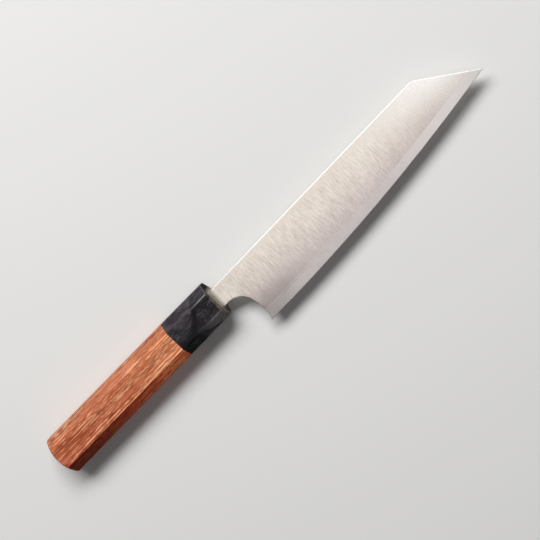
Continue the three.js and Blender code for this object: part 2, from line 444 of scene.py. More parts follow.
def coreRing(lower, upper):
    heights = [blade["honedWidth"]]
    for i in range(1, blade["bevelSteps"] + 1):
        run = blade["bareCore"] - blade["honedWidth"]
        heights.append(blade["honedWidth"] + run * i / blade["bevelSteps"])
    # behind the tip, where no cladding covers it, the core's edge is broken like the spine's
    run, sunk = blade["spineBreak"]
    bare = smooth(-blade["bareFade"], blade["bareFade"], bareY(upper.x) - upper.y)
    scale = bare * min(1.0, blade["breakShare"] * coreZ(upper.x, upper.y) / sunk)
    last = 1 - min(blade["breakReach"], run * scale / max((upper - lower).length, mend["least"]))
    shares = [0.0] + [min(last, climb(lower, upper, h)) for h in heights] + [last]
    points = [lower.lerp(upper, share) for share in shares]
    halves = [coreZ(p.x, p.y) for p in points] + [coreZ(upper.x, upper.y) - sunk * scale]
    points.append(upper)
    right = [placed(p, half) for p, half in zip(points, halves)]
    left = [placed(p, -half) for p, half in zip(points, halves)]
    return right + left[::-1]


# Steel, brushed from spine to edge: places along the blade are from the ferrule's face, heights from the spine

# lengths of the grains along x, y and z
steelGrain = {
    "sway": {"sizes": (0.010, 0.016, 0.02), "detail": 1.0},
    "lines": {"sizes": (0.00050, 0.0040, 0.02), "detail": 3.0, "roughness": 0.6},
    "hairs": {"sizes": (0.00013, 0.0060, 0.02), "detail": 2.0},
    "haze": {"sizes": (0.0052, 0.0040, 0.02), "detail": 3.0, "roughness": 0.55},
    "patch": {"sizes": (0.020, 0.012, 0.02), "detail": 1.0},
    "wave": {"sizes": (0.0045, 0.004, 0.02), "detail": 2.0},
}
polish = {"fade": 1.4, "colour": (0.93, 0.91, 0.89, 1.0), "roughness": 0.17}
cladLook = {
    "sway": 0.0005,
    "brushFrom": (-0.026, -0.014),  # the brushing is strongest between these heights
    "brushTo": (0.0, -0.004),
    "brushDepth": 0.7,
    "fineRun": (0.085, 0.150),  # and finer towards the tip
    "fineDepth": 0.6,
    "tone": {"lines": 2.9, "hairs": 1.7, "haze": 0.5, "patch": 0.4, "level": 0.5},
    "tones": [(0.0, (0.60, 0.520, 0.475)), (0.5, (0.74, 0.655, 0.605)), (1.0, (0.88, 0.80, 0.75))],
    "tintHeights": (-0.022, -0.007),
    "lowTint": (0.95, 0.93, 0.955, 1.0),
    "highTint": (0.98, 0.995, 0.955, 1.0),
    # painted highlight towards the tip, strongest near the spine, and over the angled end
    "tipHighlightRun": (0.080, 0.150),
    "tipHighlightHeights": (-0.018, -0.002),
    "endRun": (0.125, 0.150),
    "endDepth": 0.35,
    "tipHighlightDepth": 0.62,
    "tipHighlight": (0.96, 0.93, 0.925, 1.0),
    # painted shade at the heel, mottled by the haze
    "heelShadeRun": (0.018, 0.045),
    "heelShadeHeights": (-0.0225, -0.0130),
    "heelShadeLevel": 0.1,
    "heelShade": (0.42, 0.36, 0.34, 1.0),
    "weldWave": 0.0012,
    "weldWidth": (0.0001, 0.0004),
    "weldRun": (0.055, 0.095),
    "weldDepth": 0.35,
    "weld": (0.90, 0.87, 0.85, 1.0),
    "rough": {"lines": 0.08, "hairs": 0.06, "haze": 0.05, "level": 0.28},
    "bumpHairs": 0.6,
    "bump": (0.00002, 0.3),  # distance and strength
}
coreLook = {
    "tone": {"lines": 1.2, "haze": 0.6, "level": 0.5},
    "tones": [(0.0, (0.66, 0.595, 0.575)), (1.0, (0.84, 0.765, 0.745))],
    # painted highlight towards the tip
    "tipHighlightRun": (0.085, 0.150),
    "tipHighlightDepth": 0.85,
    "tipHighlight": (1.0, 0.935, 0.90, 1.0),
    # painted shade at the heel, mottled by the haze
    "heelShadeRun": (0.014, 0.038),
    "heelShadeHaze": 0.7,
    "heelShadeLevel": 0.35,
    "heelShade": (0.42, 0.37, 0.35, 1.0),
    "dullRun": (0.100, 0.160),
    "rough": {"lines": 0.06, "dull": 0.06, "level": 0.28},
    "bump": (0.00002, 0.15),
}


# 1 on the broken edge of the spine and of the angled end, which is polished
def polishedEdge(s, x, y):
    along = x - faceX
    fromSpine = y - (axisY + blade["spineHeight"]) - along * (blade["spineRise"] / shoulder.x)
    fromEnd = y - (axisY + shoulder.y) - (along - shoulder.x) * endSlope
    reach = blade["spineBreak"][0]
    fade = (-polish["fade"] * reach, -reach)
    return s.clamped(s.rising(fromSpine, *fade) + s.rising(fromEnd, *fade), 0.0, 1.0)


def claddingSteel():
    s, look = Surface("claddingSteel"), cladLook
    x, y, z = s.split(s.place)
    along = x - faceX
    height = y - (axisY + blade["spineHeight"])  # negative below the spine
    sway = (s.noise(s.place, **steelGrain["sway"]) - 0.5) * look["sway"]
    drawn = s.joined(x + sway, y, z)
    lines = s.noise(drawn, **steelGrain["lines"])
    hairs = s.noise(drawn, **steelGrain["hairs"])
    haze = s.noise(s.place, **steelGrain["haze"])
    patch = s.noise(s.place, **steelGrain["patch"])
    deep = s.rising(height, *look["brushFrom"]) * s.rising(height, *look["brushTo"])
    ground = deep * look["brushDepth"] + (1 - look["brushDepth"])
    ground = ground * (1 - s.rising(along, *look["fineRun"]) * look["fineDepth"])
    tone = look["tone"]
    brushing = ((lines - 0.5) * tone["lines"] + (hairs - 0.5) * tone["hairs"]) * ground
    clouding = (haze - 0.5) * tone["haze"] + (patch - 0.5) * tone["patch"]
    brushed = s.ramp(brushing + clouding + tone["level"], look["tones"])
    # warmer above, cooler below, a painted highlight towards the tip, and painted shade at the heel
    tint = s.mixed(s.rising(height, *look["tintHeights"]), look["lowTint"], look["highTint"])
    tinted = s.mixed(1.0, brushed, tint, "MULTIPLY")
    # painted highlight: paler towards the tip near the spine and over the angled end
    tipward = s.rising(along, *look["tipHighlightRun"]) * s.rising(height, *look["tipHighlightHeights"])
    pale = tipward + s.rising(along, *look["endRun"]) * look["endDepth"]
    tipHighlight = s.mixed(pale * look["tipHighlightDepth"], tinted, look["tipHighlight"])
    # painted shade over the heel's lower corner, mottled by the haze noise
    heelShade = (1 - s.rising(along, *look["heelShadeRun"])) * (1 - s.rising(height, *look["heelShadeHeights"]))
    heelShaded = s.mixed(heelShade * (haze + look["heelShadeLevel"]), tipHighlight, look["heelShade"])
    # a thin pale line where the core comes out from under the cladding, as far as the middle of the blade
    share = (along - heelX) / blade["edgeLength"]
    bare = share * share * (heelDepth - blade["tipDepth"]) + (axisY - heelDepth + blade["bareCore"])
    wave = s.noise(s.place, **steelGrain["wave"]) * look["weldWave"]
    weld = (1 - s.rising(abs(y - bare - wave), *look["weldWidth"])) * (1 - s.rising(along, *look["weldRun"]))
    welded = s.mixed(weld * look["weldDepth"], heelShaded, look["weld"])
    polished = polishedEdge(s, x, y)
    dull = 1 - polished
    rough = look["rough"]
    grained = (lines - 0.5) * rough["lines"] + (hairs - 0.5) * rough["hairs"] + (haze - 0.5) * rough["haze"]
    return s.done({
        "Base Color": s.mixed(polished, welded, polish["colour"]),
        "Metallic": 1.0,
        "Roughness": (grained + rough["level"]) * dull + polished * polish["roughness"],
        "Normal": s.bump((lines + hairs * look["bumpHairs"]) * ground * dull, *look["bump"]),
    })


def coreSteel():
    s, look = Surface("coreSteel"), coreLook
    x, y, _ = s.split(s.place)
    along = x - faceX
    lines = s.noise(s.place, **steelGrain["lines"])
    haze = s.noise(s.place, **steelGrain["haze"])
    tone = look["tone"]
    grained = (lines - 0.5) * tone["lines"] + (haze - 0.5) * tone["haze"]
    ground = s.ramp(grained + tone["level"], look["tones"])
    # painted highlight: paler towards the tip
    tipHighlight = s.mixed(s.rising(along, *look["tipHighlightRun"]) * look["tipHighlightDepth"], ground, look["tipHighlight"])
    polished = polishedEdge(s, x, y)
    ended = s.mixed(polished, tipHighlight, polish["colour"])
    # painted shade at the heel, mottled by the haze noise
    heelShade = (1 - s.rising(along, *look["heelShadeRun"])) * (haze * look["heelShadeHaze"] + look["heelShadeLevel"])
    rough = look["rough"]
    tipward = s.rising(along, *look["dullRun"]) * rough["dull"]
    honed = (lines - 0.5) * rough["lines"] + tipward + rough["level"]
    return s.done({
        "Base Color": s.mixed(heelShade, ended, look["heelShade"]),
        "Metallic": 1.0,
        "Roughness": honed * (1 - polished) + polished * polish["roughness"],
        "Normal": s.bump(lines, *look["bump"]),
    })


def makeBlade():
    cladding = claddingSteel()
    coreMesh = loftMesh("hard_core", [coreRing(*line) for line in bladeLines(False)])
    core = pieceFromMesh("hard_core", coreMesh, coreSteel(), blade["coreSharp"])
    standFor(core, "blade_core")
    for side, word in ((1, "right"), (-1, "left")):
        name = "clad_face_" + word
        mesh = loftMesh(name, [claddingRing(*line, side) for line in bladeLines(True)])
        face = pieceFromMesh(name, mesh, cladding, blade["faceSharp"])
        standFor(face, "cladding_" + word)


# Handle: octagonal lofts by Geometry Nodes, from the front end to the back end

octagonInputs = [
    "Front X", "Back X", "Axis Y", "Axis Z",
    "Front Height", "Back Height", "Front Thickness", "Back Thickness", "Front Cut", "Back Cut",
    "Arris", "Front Rounding", "Dome Radius", "Dome Edge",
]
loftCounts = {"arris": 6, "flat": 10, "rounding": 6, "taper": 30, "edge": 5, "dome": 14}  # steps of each stretch
stretches = ("rounding", "taper", "edge", "dome")  # from the front to the back
eighth = math.pi / 4  # turn from one ridge to the next


def octagonTree():
    tree = bpy.data.node_groups.new("octagonLoft", "GeometryNodeTree")
    g = Graph(tree)
    for name in octagonInputs:
        tree.interface.new_socket(name, in_out="INPUT", socket_type="NodeSocketFloat")
    tree.interface.new_socket("Material", in_out="INPUT", socket_type="NodeSocketMaterial")
    tree.interface.new_socket("Geometry", in_out="OUTPUT", socket_type="NodeSocketGeometry")
    inputs = g.add("NodeGroupInput").socket.node.outputs
    given = {name: Value(g, inputs[name]) for name in octagonInputs + ["Material"]}

    def plain(operation, value):
        return g.add("ShaderNodeMath", {"operation": operation}, {0: value})

    def crowded(share):  # steps closer together at both ends
        return 0.5 - plain("COSINE", share * math.pi) * 0.5

    # a flat grid: columns go round the handle, rows go from the front to the back
    perCorner = loftCounts["arris"] + loftCounts["flat"]
    columns = 8 * perCorner
    rows = 2 + sum(loftCounts[name] for name in stretches)
    grid = g.add(
        "GeometryNodeMeshGrid",
        None,
        {"Size X": columns, "Size Y": rows - 1.0, "Vertices X": columns + 1, "Vertices Y": rows},
    )
    gridX, gridY, _ = g.split(g.add("GeometryNodeInputPosition"))
    column = plain("ROUND", gridX + columns / 2)
    row = plain("ROUND", gridY + (rows - 1) / 2)

    # share of each stretch that a row has gone through
    gone, start = {}, 1.0
    for name in stretches:
        gone[name] = g.clamped((row - start) / loftCounts[name], 0.0, 1.0)
        start += loftCounts[name]

    # a point of the outline: on a corner's arc, or on the flat between that corner and the next
    corner = plain("FLOOR", column / perCorner)
    step = column - corner * perCorner
    onArc = g.clamped(step, 0.0, float(loftCounts["arris"]))
    onFlat = crowded((step - onArc) / loftCounts["flat"])

    def cornerPoint(index, turn, half):
        middle = (index - 0.5) * eighth
        cosine, sine = plain("COSINE", middle), plain("SINE", middle)
        upright = cosine.math("GREATER_THAN", abs(cosine), math.sqrt(0.5))  # 1 at the ridges of the narrow facets
        angle = (index + turn - 1.0) * eighth
        y = plain("SIGN", cosine) * (half["height"] - half["cut"] * (1 - upright))
        z = plain("SIGN", sine) * (half["thickness"] - half["cut"] * upright)
        return y + given["Arris"] * plain("COSINE", angle), z + given["Arris"] * plain("SINE", angle)

    def outlinePoint(share, inset):
        inward = inset + given["Arris"]
        size = {}
        for name in ("Height", "Thickness", "Cut"):
            size[name] = given["Front " + name] + (given["Back " + name] - given["Front " + name]) * share
        half = {
            "height": size["Height"] / 2 - inward,
            "thickness": size["Thickness"] / 2 - inward,
            "cut": size["Cut"] - inward * (2 - math.sqrt(2)),
        }
        here = cornerPoint(corner, onArc / loftCounts["arris"], half)
        there = cornerPoint(corner + 1.0, 0.0, half)
        return [a + (b - a) * onFlat for a, b in zip(here, there)]

    def length(a, b):
        return plain("SQRT", a * a + b * b)

    def sag(radius):  # how far the dome has fallen back at a distance from the axis
        square = radius * radius
        dome = given["Dome Radius"]
        return square / (dome + plain("SQRT", dome * dome - square))

    # along the handle: front rounding, taper up to the dome's edge, eased edge, dome
    backY, backZ = outlinePoint(1.0, 0.0)
    rim = length(backY, backZ)
    widest = length(given["Back Height"] / 2, given["Back Thickness"] / 2 - given["Back Cut"])
    ease = given["Dome Edge"]
    eased = 1 - ease / rim
    edgeX = given["Back X"] + sag(rim)
    fullX = given["Back X"] + sag(widest)  # the back section, where the dome starts
    taperX = given["Front X"] - given["Front Rounding"]
    turn = gone["rounding"] * (math.pi / 2)
    bend = gone["edge"]
    x = given["Front X"] - given["Front Rounding"] * (1 - plain("COSINE", turn))
    x = x + (edgeX + ease - taperX) * crowded(gone["taper"])
    x = x - bend * (1 - bend) * ease * 2 - bend * bend * (sag(rim) + ease - sag(rim * eased))
    x = x - sag(rim * eased) + sag(rim * eased * (1 - gone["dome"]))
    inset = given["Front Rounding"] * (1 - plain("SINE", turn))
    share = g.clamped((taperX - x) / (taperX - fullX), 0.0, 1.0)
    y, z = outlinePoint(share, inset)
    spreading = (1 - bend * bend * (1 - eased)) * (1 - gone["dome"]) * g.clamped(row, 0.0, 1.0)  # 0 at both ends
    place = g.joined(x, y * spreading + given["Axis Y"], z * spreading + given["Axis Z"])

    shaped = g.add("GeometryNodeSetPosition", None, {"Geometry": grid, "Position": place})
    closed = g.add("GeometryNodeMergeByDistance", None, {"Geometry": shaped, "Distance": mend["merge"]})
    real = g.add("GeometryNodeRealizeInstances", None, {"Geometry": closed})
    coated = g.add("GeometryNodeSetMaterial", None, {"Geometry": real, "Material": given["Material"]})
    g.add("NodeGroupOutput", None, {"Geometry": coated})
    return tree


# the mesh of an object as its modifiers leave it, with the object gone
def settledMesh(work):
    evaluated = work.evaluated_get(bpy.context.evaluated_depsgraph_get())
    mesh = bpy.data.meshes.new_from_object(evaluated)
    work.modifiers.clear()
    bpy.data.objects.remove(work)
    return mesh


def octagonMesh(tree, sizes, material):
    work = bpy.data.objects.new("octagonWork", bpy.data.meshes.new("octagonWork"))
    bpy.context.scene.collection.objects.link(work)
    modifier = work.modifiers.new("loft", "NODES")
    modifier.node_group = tree
    for item in tree.interface.items_tree:
        if item.in_out == "INPUT":
            modifier[item.identifier] = material if item.name == "Material" else sizes[item.name]
    mesh = settledMesh(work)
    tidy = bmesh.new()
    tidy.from_mesh(mesh)
    bmesh.ops.dissolve_degenerate(tidy, edges=tidy.edges, dist=mend["sliver"])
    bmesh.ops.recalc_face_normals(tidy, faces=tidy.faces)
    tidy.to_mesh(mesh)
    tidy.free()
    return mesh


# cuts closed meshes out of a mesh
def cutAway(mesh, cutters):
    work = bpy.data.objects.new("cutWork", mesh)
    bpy.context.scene.collection.objects.link(work)
    tools = []
    for cutter in cutters:
        tool = bpy.data.objects.new("cutTool", cutter)
        bpy.context.scene.collection.objects.link(tool)
        tools.append(tool)
        modifier = work.modifiers.new("cut", "BOOLEAN")
        modifier.operation = "DIFFERENCE"
        modifier.solver = "EXACT"
        modifier.object = tool
    cut = settledMesh(work)
    for tool in tools:
        bpy.data.objects.remove(tool)
    return cut


def ringMesh(name, radius, back, front, sides=64):
    turn = [2 * math.pi * i / sides for i in range(sides)]
    rings = []
    for x in (back, front):
        rings.append([origin + Vector((x, radius * math.cos(a), radius * math.sin(a))) for a in turn])
    return loftMesh(name, rings)


def slotMesh(name, low, high, halfWidth, back, front):
    rings = []
    for x in (back, front):
        corners = ((low, -halfWidth), (high, -halfWidth), (high, halfWidth), (low, halfWidth))
        rings.append([origin + Vector((x, y, z)) for y, z in corners])
    return loftMesh(name, rings)


handle = {
    "frontHeight": 0.0194,
    "frontThickness": 0.0150,
    "frontCut": 0.00435,
    "jointCut": 0.00475,
    "buttCut": 0.00485,
    "arris": 0.0005,
    "frontRounding": 0.0008,
    "domeRadius": 0.019,
    "domeEdge": 0.0005,
    "flatRadius": 1e4,  # dome radius of a flat end
    "frontWall": 0.006,
    "boreClearance": 0.00005,
    "mouthClearance": 0.0004,
    "cutterReach": 0.001,  # how far cutters go beyond what they cut
}


# Horn: places along it are from its front face and heights from the axis
hornLook = {
    "drift": {"sizes": (0.011, 0.007, 0.007), "detail": 3.0, "distortion": 0.5},
    "cloud": {"sizes": (0.008, 0.0045, 0.0045), "detail": 4.0, "roughness": 0.6, "distortion": 0.8},
    "fleck": {"sizes": (0.0028, 0.00034, 0.00034), "detail": 2.0},
    "veinStart": -0.0255,
    "veinRun": 0.0165,
    "veinCurve": (0.0145, -0.0045, -0.0045),  # square, slope and start of its height over that run
    "veinDrift": 0.005,
    "veinWidth": (0.0032, 0.0004),
    "veinBreaks": (0.25, 0.55),
    "veinTop": (0.0070, 0.0030),
    "veinDepth": 0.9,
    "aboveVein": (0.0005, 0.0045),
    "upperBevel": (0.0045, 0.0065),
    "lowerBevel": (-0.0046, -0.0058),
    "frontRun": (-0.018, -0.006),
    "fleckEdge": (0.54, 0.66),
    "fleckClouds": (0.38, 0.58),
    "cloudEdge": (0.28, 0.74),
    # tones by zone; the upper bevel, front and lower bevel tones are painted light and painted shade
    "tone": {"cloud": 0.5, "above": 0.30, "upper": 0.28, "upperFront": 0.22, "front": 0.16, "level": 0.28},
    "lowerTone": 0.28,
    "tones": [
        (0.0, (0.0030, 0.0026, 0.0040)),
        (0.35, (0.0120, 0.0096, 0.0130)),
        (0.7, (0.0300, 0.0256, 0.0310)),
        (1.0, (0.0560, 0.0480, 0.0540)),
    ],
    "highlightClouds": (0.30, 0.60),  # the painted reflection on the lower bevel and the painted highlight on the rim follow the clouds
    # painted reflection: a pale patch on the lower bevel near the front
    "paleDepth": 0.7,
    "pale": (0.20, 0.185, 0.19, 1.0),
    "fleckDepth": 0.5,
    "flecks": (0.13, 0.118, 0.12, 1.0),
    "face": (-0.0007, -0.0001),
    # painted highlight round the front end's rim
    "rimFrom": (-0.0012, -0.0008),
    "rimTo": (-0.0001, -0.0005),
    "rimHeights": (0.0, 0.0050),
    "rimDepths": (0.6, 0.35),  # and how much less above
    "rim": (0.20, 0.155, 0.11, 1.0),
    # painted highlight along the upper ridge near the front
    "ridgeHeight": 0.0053,
    "ridgeWidth": (0.0004, 0.0001),
    "ridgeRun": (-0.012, -0.004),
    "ridgeClouds": (0.25, 0.55),
    "ridgeDepth": 0.5,
    "ridge": (0.34, 0.33, 0.33, 1.0),
    # painted reflection of the neck on the front face
    "paintedLightHeights": (0.0080, 0.0030),
    "paintedLightSides": (0.0090, 0.0035),
    "paintedLightClouds": (0.30, 0.65),
    "paintedLightDepth": 0.55,
    "paintedLight": (0.32, 0.272, 0.210, 1.0),
    "glossHeight": 0.00525,
    "glossWidth": (0.0007, 0.0003),
    "glossRidge": 0.85,
    "glossFacets": 0.14,
    "glossFace": (0.0074, 0.0042),
    "rough": {"cloud": 0.10, "fleck": 0.12, "level": 0.40},
    "coatRoughness": 0.04,
    "bump": (0.00004, 0.12),
}


def ferruleHorn():
    s, look = Surface("ferruleHorn"), hornLook
    x, y, z = s.split(s.place)
    along, up = x - faceX, y - axisY
    drift = s.noise(s.place, **look["drift"])
    cloud = s.noise(s.place, **look["cloud"])
    fleck = s.noise(s.place, **look["fleck"])
    # one dark vein climbs forwards in a curve, and the horn above it is paler
    run = (along - look["veinStart"]) / look["veinRun"]
    square, slope, start = look["veinCurve"]
    gap = up - (run * run * square + run * slope + start) + (drift - 0.5) * look["veinDrift"]
    vein = s.rising(abs(gap), *look["veinWidth"]) * s.rising(drift, *look["veinBreaks"])
    vein = vein * s.rising(up, *look["veinTop"])
    above = s.rising(gap, *look["aboveVein"])
    upper = s.rising(up, *look["upperBevel"])
    lower = s.rising(up, *look["lowerBevel"])
    front = s.rising(along, *look["frontRun"])
    flecks = s.rising(fleck, *look["fleckEdge"]) * s.rising(cloud, *look["fleckClouds"])
    tone = look["tone"]
    clouds = (s.rising(cloud, *look["cloudEdge"]) - 0.5) * tone["cloud"]
    # painted light: the upper bevel and the front lighter, and painted shade on the lower bevel behind the front
    zones = above * tone["above"] + upper * (tone["upper"] - front * tone["upperFront"]) + front * tone["front"]
    shade = clouds + zones + tone["level"] - lower * (1 - front) * look["lowerTone"]
    base = s.ramp(shade * (1 - vein * look["veinDepth"]), look["tones"])
    highlightClouds = s.rising(cloud, *look["highlightClouds"])
    # painted reflection: a pale patch on the lower bevel near the front
    pale = s.mixed(front * lower * highlightClouds * look["paleDepth"], base, look["pale"])
    streaked = s.mixed(flecks * (1 - vein) * look["fleckDepth"], pale, look["flecks"])
    # painted highlights: a light line on the upper ridge near the front, and a light line round the front end's
    # rim, mostly its lower half
    onFace = s.rising(along, *look["face"])
    rim = s.rising(along, *look["rimFrom"]) * s.rising(along, *look["rimTo"])
    ridge = s.rising(abs(up - look["ridgeHeight"]), *look["ridgeWidth"]) * s.rising(along, *look["ridgeRun"])
    ridge = ridge * (1 - rim) * (1 - onFace) * s.rising(cloud, *look["ridgeClouds"])
    ridgeHighlighted = s.mixed(ridge * look["ridgeDepth"], streaked, look["ridge"])
    most, less = look["rimDepths"]
    rimmed = s.mixed(rim * highlightClouds * (most - s.rising(up, *look["rimHeights"]) * less), ridgeHighlighted, look["rim"])
    # painted reflection of the neck: on the front face the horn is paler round it
    middle = axisY + (blade["spineHeight"] + neckBottom) / 2
    fromNeck = abs(y - middle)
    nearNeck = s.rising(fromNeck, *look["paintedLightHeights"]) * s.rising(abs(z - axisZ), *look["paintedLightSides"])
    clouding = s.rising(cloud, *look["paintedLightClouds"]) * look["paintedLightDepth"] + (1 - look["paintedLightDepth"])
    # gloss lies on the facets, on the ridges near the front and round the neck
    edges = s.rising(abs(abs(up) - look["glossHeight"]), *look["glossWidth"]) * front
    gloss = (edges * look["glossRidge"] + look["glossFacets"]) * (1 - onFace)
    rough = look["rough"]
    return s.done({
        "Base Color": s.mixed(onFace * nearNeck * clouding, rimmed, look["paintedLight"]),
        "Roughness": (cloud - 0.5) * rough["cloud"] + flecks * rough["fleck"] + rough["level"],
        "Specular IOR Level": 0.0,
        "Coat Weight": gloss + onFace * s.rising(fromNeck, *look["glossFace"]),
        "Coat Roughness": look["coatRoughness"],
        "Normal": s.bump(fleck + cloud, *look["bump"]),
    })


woodLook = {
    "sway": {"sizes": (0.06, 0.02, 0.02), "detail": 0.0},
    "bands": {"sizes": (0.07, 0.0034, 0.0034), "detail": 3.0, "roughness": 0.6},
    "figure": {"sizes": (0.0065, 0.007, 0.007), "detail": 2.0},
    "fibre": {"sizes": (0.0100, 0.00024, 0.00024), "detail": 3.0, "roughness": 0.6},
    "rows": {"sizes": (0.034, 0.00034, 0.00034), "detail": 2.0},
    "pores": {"sizes": (0.026, 0.00028, 0.00028), "detail": 2.0},
    "breaks": {"sizes": (0.0040, 0.00060, 0.00060), "detail": 2.0},  # cuts the rows into dashes
    "swayReach": 0.0006,
    "wideFacets": (0.0064, 0.0076),  # distance of the wide facets from the axis
    "domeRun": (0.0026, 0.0036),  # from the butt's end
    # the painted shade band on the edge side, and where it reaches on the butt's dome
    "paintedLightHeights": (-0.0047, -0.0058),
    "paintedShadeOnDome": (0.0, -0.0105),
    "contrast": {"wide": 0.4, "paintedLight": 0.8, "level": 0.6},
    "rowEdge": (0.44, 0.66),
    "rowBreaks": (0.34, 0.60),
    "poreEdge": (0.46, 0.66),
    "poreBreaks": (0.66, 0.40),
    "tone": {"bands": 0.9, "figure": 0.4, "fibre": 0.9, "level": 0.46},
    "tones": [
        (0.0, (0.17, 0.034, 0.014)),
        (0.35, (0.36, 0.094, 0.040)),
        (0.6, (0.50, 0.150, 0.070)),
        (1.0, (0.66, 0.250, 0.125)),
    ],
    "rowDepths": (1.15, 0.25),  # at the butt, and how much less at the front
    "row": (0.95, 0.50, 0.30, 1.0),
    "poreDepths": (1.15, 0.30),
    "pore": (0.19, 0.040, 0.016, 1.0),
    # painted light tints at the butt and at the front: the wide facets lighter towards the front, the bevels
    # shaded apart from them
    "facetTints": ((0.94, 0.79, 0.76, 1.0), (1.21, 1.26, 1.18, 1.0)),
    "bevelTints": ((0.92, 1.03, 1.06, 1.0), (0.87, 0.88, 0.91, 1.0)),
    # painted light on the edge side band: dark at the butt, lighter towards the front
    "paintedLightTints": [
        (0.0, (0.39, 0.106, 0.006)),
        (0.5, (0.76, 0.25, 0.105)),
        (0.84, (1.32, 0.65, 0.37)),
        (1.0, (1.52, 0.95, 0.61)),
    ],
    "rough": {"fibre": 0.2, "pores": 0.1, "level": 0.52},
    "specular": 0.1,
    "bump": (0.00010, 0.3),
}


def handleWood():
    s, look = Surface("handleWood"), woodLook
    x, y, z = s.split(s.place)
    up = y - axisY
    sway = (s.noise(s.place, **look["sway"]) - 0.5) * look["swayReach"]
    bent = s.joined(x, y + sway, z + sway)
    figure = s.noise(s.place, **look["figure"])
    bands, fibre, rows, pores, breaks = (
        s.noise(bent, **look[name]) for name in ("bands", "fibre", "rows", "pores", "breaks")
    )
    wide = s.rising(abs(z - axisZ), *look["wideFacets"])  # 0 on the bevels, which are rubbed smoother
    side = s.rising(x - bodyLow.x, *look["domeRun"])  # 0 on the butt's dome
    paintedShadeBand = s.rising(up, *look["paintedLightHeights"]) * side + s.rising(up, *look["paintedShadeOnDome"]) * (1 - side)
    contrast = look["contrast"]
    clear = wide * contrast["wide"] + paintedShadeBand * contrast["paintedLight"] + contrast["level"]
    light = s.rising(rows, *look["rowEdge"]) * s.rising(breaks, *look["rowBreaks"]) * clear
    dark = s.rising(pores, *look["poreEdge"]) * s.rising(breaks, *look["poreBreaks"]) * clear
    frontward = s.rising(x, bodyLow.x, ferruleLow.x)  # 0 at the butt, 1 at the ferrule; the painted light tints make the wood darker and redder towards the butt
    tone = look["tone"]
    banding = (bands - 0.5) * tone["bands"] + (figure - 0.5) * tone["figure"]
    base = s.ramp(banding + (fibre - 0.5) * tone["fibre"] + tone["level"], look["tones"])
    most, less = look["rowDepths"]
    streaked = s.mixed(light * (most - frontward * less), base, look["row"])
    most, less = look["poreDepths"]
    grained = s.mixed(dark * (most - frontward * less), streaked, look["pore"])
    # painted light: lit and shaded tints for the wide facets and the bevels, darker towards the butt
    facets = s.mixed(frontward * frontward, *look["facetTints"])
    bevels = s.mixed(frontward, *look["bevelTints"])
    tinted = s.mixed(1.0, grained, s.mixed(wide, bevels, facets), "MULTIPLY")
    # painted shade: a darker band along the edge side, darkest at the butt and lighter towards the front
    paintedLight = s.ramp(frontward, look["paintedLightTints"])
    rough = look["rough"]
    return s.done({
        "Base Color": s.mixed(paintedShadeBand, tinted, paintedLight, "MULTIPLY"),
        "Roughness": (fibre - 0.5) * rough["fibre"] + dark * rough["pores"] + rough["level"],
        "Specular IOR Level": look["specular"],
        "Normal": s.bump((fibre + light - dark) * 0.5, *look["bump"]),
    })


def makeHandle():
    tree = octagonTree()
    shared = {"Axis Y": axisY, "Axis Z": axisZ, "Arris": handle["arris"]}
    ferruleSizes = {
        **shared,
        "Front X": faceX, "Back X": ferruleLow.x,
        "Front Height": handle["frontHeight"], "Back Height": ferruleHigh.y - ferruleLow.y,
        "Front Thickness": handle["frontThickness"], "Back Thickness": ferruleHigh.z - ferruleLow.z,
        "Front Cut": handle["frontCut"], "Back Cut": handle["jointCut"],
        "Front Rounding": handle["frontRounding"], "Dome Radius": handle["flatRadius"], "Dome Edge": 0.0,
    }
    bodySizes = {
        **shared,
        "Front X": ferruleLow.x, "Back X": bodyLow.x,
        "Front Height": ferruleHigh.y - ferruleLow.y, "Back Height": bodyHigh.y - bodyLow.y,
        "Front Thickness": ferruleHigh.z - ferruleLow.z, "Back Thickness": bodyHigh.z - bodyLow.z,
        "Front Cut": handle["jointCut"], "Back Cut": handle["buttCut"],
        "Front Rounding": 0.0, "Dome Radius": handle["domeRadius"], "Dome Edge": handle["domeEdge"],
    }
    horn, wood = ferruleHorn(), handleWood()
    dowelLow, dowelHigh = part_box("tenon_dowel")
    bore = (dowelHigh.y - dowelLow.y) / 2 + handle["boreClearance"]
    past, mouth = handle["cutterReach"], handle["mouthClearance"]
    jointX = ferruleLow.x - faceX
    mouthSlot = slotMesh(
        "mouthSlot", neckBottom - mouth, blade["spineHeight"] + mouth, blade["thickness"] / 2 + mouth,
        -handle["frontWall"] - past, past,
    )
    socket = ringMesh("socket", bore, jointX - past, -handle["frontWall"])
    ferruleMesh = cutAway(octagonMesh(tree, ferruleSizes, horn), [socket, mouthSlot])
    standFor(pieceFromMesh("horn_ferrule", ferruleMesh), "ferrule")
    boreEnd = dowelLow.x - faceX - handle["boreClearance"]
    dowelBore = ringMesh("dowelBore", bore, boreEnd, jointX + past)
    bodyMesh = cutAway(octagonMesh(tree, bodySizes, wood), [dowelBore])
    standFor(pieceFromMesh("wood_body", bodyMesh), "handle_body")


# Inner pieces keep their own meshes

dowelLook = {
    "fibre": {"sizes": (0.012, 0.0006, 0.0006), "detail": 3.0, "roughness": 0.6},
    "bands": {"sizes": (0.08, 0.0018, 0.0018), "detail": 1.0},
    "tone": {"fibre": 0.8, "bands": 0.8, "level": 0.5},
    "tones": [(0.0, (0.46, 0.31, 0.16)), (1.0, (0.72, 0.55, 0.34))],
    "rough": {"fibre": 0.2, "level": 0.6},
    "bump": (0.0001, 0.3),
}
beddingLook = {
    "cloud": {"sizes": (0.0012, 0.0012, 0.0012), "detail": 3.0},
    "colours": ((0.075, 0.042, 0.020, 1.0), (0.20, 0.125, 0.062, 1.0)),
    "rough": {"cloud": 0.2, "level": 0.25},
    "bump": (0.00005, 0.3),
}


